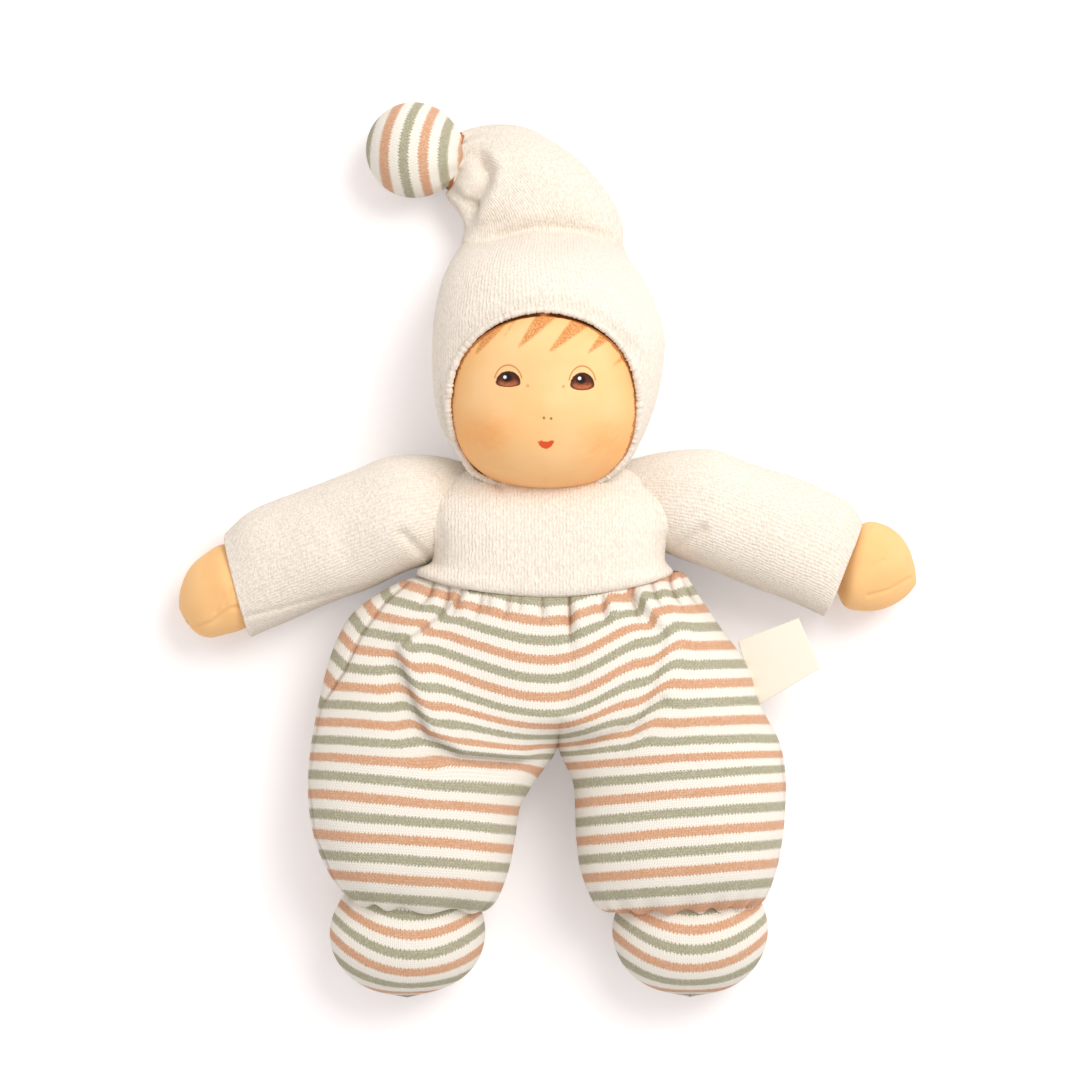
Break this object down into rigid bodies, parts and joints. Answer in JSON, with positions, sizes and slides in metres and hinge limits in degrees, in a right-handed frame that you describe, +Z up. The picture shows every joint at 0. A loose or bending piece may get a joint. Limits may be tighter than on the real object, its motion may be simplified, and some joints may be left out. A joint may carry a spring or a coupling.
{
  "type": "waldorf doll",
  "caption": "Soft Waldorf doll lying on its back, with a terry hood, a bent cap tip with a striped bobble, spread arms and a striped knitted trouser suit with gathered feet.",
  "frame": {"origin": "flat rest patch in the middle of the bodice's back, between the shoulders and the waist", "axes": "+Y from the feet towards the crown of the head, +Z up from the floor towards the face, +X to the right of the picture, which is the doll's own left hand"},
  "size_m": [0.2466, 0.2996, 0.0687],
  "materials": {
    "skin": "fine cotton jersey",
    "terry": "nicki and terry loops",
    "stripe": "striped cotton knit",
    "wool": "carded sheep's wool",
    "thread": "cotton thread and gauze",
    "label": "woven ribbon"
  },
  "bodies": {
    "torso": {"bodice": "terry", "trouser_seat": "stripe", "body_wool": "wool", "waist_thread": "thread"},
    "neck": {"neck_stem": "thread", "neck_thread": "thread"},
    "head": {"head_skin": "skin", "head_gauze": "thread", "head_wool_core": "wool", "cap_hood": "terry"},
    "tip": {"cap_tip": "terry", "tip_wool": "wool", "bobble_thread": "thread"},
    "bobble": {"bobble_cover": "stripe", "bobble_wool": "wool"},
    "arm_left": {"sleeve_left": "terry", "arm_wool_left": "wool"},
    "arm_right": {"sleeve_right": "terry", "arm_wool_right": "wool"},
    "hand_left": {"hand_skin_left": "skin", "hand_wool_left": "wool"},
    "hand_right": {"hand_skin_right": "skin", "hand_wool_right": "wool"},
    "leg_left": {"trouser_leg_left": "stripe", "leg_wool_left": "wool", "ankle_thread_left": "thread"},
    "leg_right": {"trouser_leg_right": "stripe", "leg_wool_right": "wool", "ankle_thread_right": "thread"},
    "foot_left": {"foot_left": "stripe", "foot_wool_left": "wool"},
    "foot_right": {"foot_right": "stripe", "foot_wool_right": "wool"},
    "label": {"side_label": "label"}
  },
  "joints": [
    {"name": "head_nod", "type": "hinge", "parent": "torso", "child": "neck", "pos_m": [0, 0.014, 0.0355], "axis": [1, 0, 0], "range_deg": [-10, 20]},
    {"name": "head_turn", "type": "hinge", "parent": "neck", "child": "head", "pos_m": [0, 0.014, 0.0355], "axis": [0, 1, 0], "range_deg": [-60, 60]},
    {"name": "tip_flop", "type": "hinge", "parent": "head", "child": "tip", "pos_m": [0, 0.1083, 0.0245], "axis": [1, 0, 0], "range_deg": [0, 100]},
    {"name": "bobble_swing", "type": "hinge", "parent": "tip", "child": "bobble", "pos_m": [-0.03509, 0.13171, 0.0075], "axis": [0, 0, 1], "range_deg": [-30, 30]},
    {"name": "shoulder_left", "type": "hinge", "parent": "torso", "child": "arm_left", "pos_m": [-0.0375, 0.0125, 0.02], "axis": [0, 0, -1], "range_deg": [-3, 50]},
    {"name": "shoulder_right", "type": "hinge", "parent": "torso", "child": "arm_right", "pos_m": [0.0375, 0.0125, 0.02], "axis": [0, 0, 1], "range_deg": [-3, 50]},
    {"name": "wrist_left", "type": "hinge", "parent": "arm_left", "child": "hand_left", "pos_m": [-0.10734, -0.01643, 0.0125], "axis": [0, 0, 1], "range_deg": [-25, 25]},
    {"name": "wrist_right", "type": "hinge", "parent": "arm_right", "child": "hand_right", "pos_m": [0.10932, -0.01111, 0.0125], "axis": [0, 0, 1], "range_deg": [-25, 25]},
    {"name": "hip_left", "type": "hinge", "parent": "torso", "child": "leg_left", "pos_m": [0, -0.062, 0.032], "axis": [-1, 0, 0], "range_deg": [0, 90]},
    {"name": "hip_right", "type": "hinge", "parent": "torso", "child": "leg_right", "pos_m": [0, -0.062, 0.032], "axis": [-1, 0, 0], "range_deg": [0, 90]},
    {"name": "ankle_left", "type": "hinge", "parent": "leg_left", "child": "foot_left", "pos_m": [-0.0472, -0.1315, 0.0177], "axis": [1, 0, 0], "range_deg": [-25, 25]},
    {"name": "ankle_right", "type": "hinge", "parent": "leg_right", "child": "foot_right", "pos_m": [0.0472, -0.1315, 0.0177], "axis": [1, 0, 0], "range_deg": [-25, 25]},
    {"name": "label_flip", "type": "hinge", "parent": "torso", "child": "label", "pos_m": [0.06654, -0.037, 0.0245], "axis": [-0.3746, 0.9272, 0], "range_deg": [-60, 60], "stiffness_Nm_per_rad": 0.001}
  ]
}
